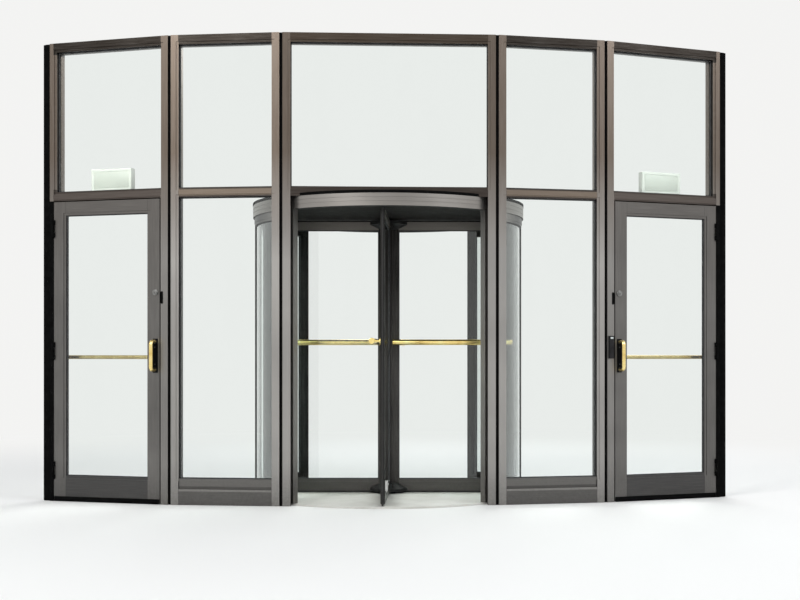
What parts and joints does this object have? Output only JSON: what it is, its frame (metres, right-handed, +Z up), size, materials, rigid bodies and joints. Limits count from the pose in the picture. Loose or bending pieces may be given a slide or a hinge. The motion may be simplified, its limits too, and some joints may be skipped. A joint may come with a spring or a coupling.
{
  "type": "revolving door entrance screen",
  "caption": "Faceted glazed entrance screen, floor to head, with a revolving door in its middle bay, a swing door in each end bay and sidelights between",
  "frame": {"origin": "on the floor at the centre of the revolving door, on its turning axis", "axes": "+X to the right as seen from outside, +Y into the building, +Z up"},
  "size_m": [4.9344, 2.0198, 3.275],
  "materials": {
    "bronze_anodised_aluminium": "satin dark bronze anodised",
    "polished_brass": "polished",
    "clear_glass": "clear",
    "black_bristle": "bristle strip",
    "light_stone": "honed light stone",
    "white_enamel": "enamelled",
    "satin_steel": "satin",
    "dark_steel": "black paint, satin",
    "black_plastic": "moulded"
  },
  "bodies": {
    "screen": {"drum_floor": "light_stone", "floor_bearing": "dark_steel", "drum_ceiling": "bronze_anodised_aluminium", "canopy_fascia": "bronze_anodised_aluminium", "canopy_cover": "bronze_anodised_aluminium", "ceiling_bearing": "dark_steel", "left_drum_frame": "bronze_anodised_aluminium", "right_drum_frame": "bronze_anodised_aluminium", "left_drum_glass": "clear_glass", "right_drum_glass": "clear_glass", "centre_frame": "bronze_anodised_aluminium", "left_side_frame": "bronze_anodised_aluminium", "right_side_frame": "bronze_anodised_aluminium", "left_outer_frame": "bronze_anodised_aluminium", "right_outer_frame": "bronze_anodised_aluminium", "corner_posts": "bronze_anodised_aluminium", "wall_trims": "dark_steel", "centre_transom_glass": "clear_glass", "left_side_transom_glass": "clear_glass", "right_side_transom_glass": "clear_glass", "left_outer_transom_glass": "clear_glass", "right_outer_transom_glass": "clear_glass", "left_sidelight_glass": "clear_glass", "right_sidelight_glass": "clear_glass", "sign_boxes": "white_enamel", "card_reader": "black_plastic", "jamb_knuckles": "dark_steel"},
    "rotor": {"shaft": "bronze_anodised_aluminium", "wing_hangers": "dark_steel", "front_wing_frame": "bronze_anodised_aluminium", "right_wing_frame": "bronze_anodised_aluminium", "back_wing_frame": "bronze_anodised_aluminium", "left_wing_frame": "bronze_anodised_aluminium", "wing_glass": "clear_glass", "wing_push_bars": "polished_brass", "wing_sweeps": "black_bristle"},
    "left_door": {"left_leaf_frame": "bronze_anodised_aluminium", "left_leaf_glass": "clear_glass", "left_leaf_hinges": "dark_steel", "left_pull": "polished_brass", "left_pull_plate": "dark_steel", "left_leaf_push_bar": "polished_brass", "left_lock_cylinder": "satin_steel"},
    "right_door": {"right_leaf_frame": "bronze_anodised_aluminium", "right_leaf_glass": "clear_glass", "right_leaf_hinges": "dark_steel", "right_pull": "polished_brass", "right_pull_plate": "dark_steel", "right_leaf_push_bar": "polished_brass", "right_lock_cylinder": "satin_steel"}
  },
  "joints": [
    {"name": "revolving_door_turn", "type": "hinge", "parent": "screen", "child": "rotor", "pos_m": [0, 0, 0], "axis": [0, 0, 1], "continuous": true},
    {"name": "left_door_swing", "type": "hinge", "parent": "screen", "child": "left_door", "pos_m": [-2.4057, -0.38302, 0], "axis": [0, 0, -1], "range_deg": [0, 90]},
    {"name": "right_door_swing", "type": "hinge", "parent": "screen", "child": "right_door", "pos_m": [2.4057, -0.38302, 0], "axis": [0, 0, 1], "range_deg": [0, 90]}
  ]
}
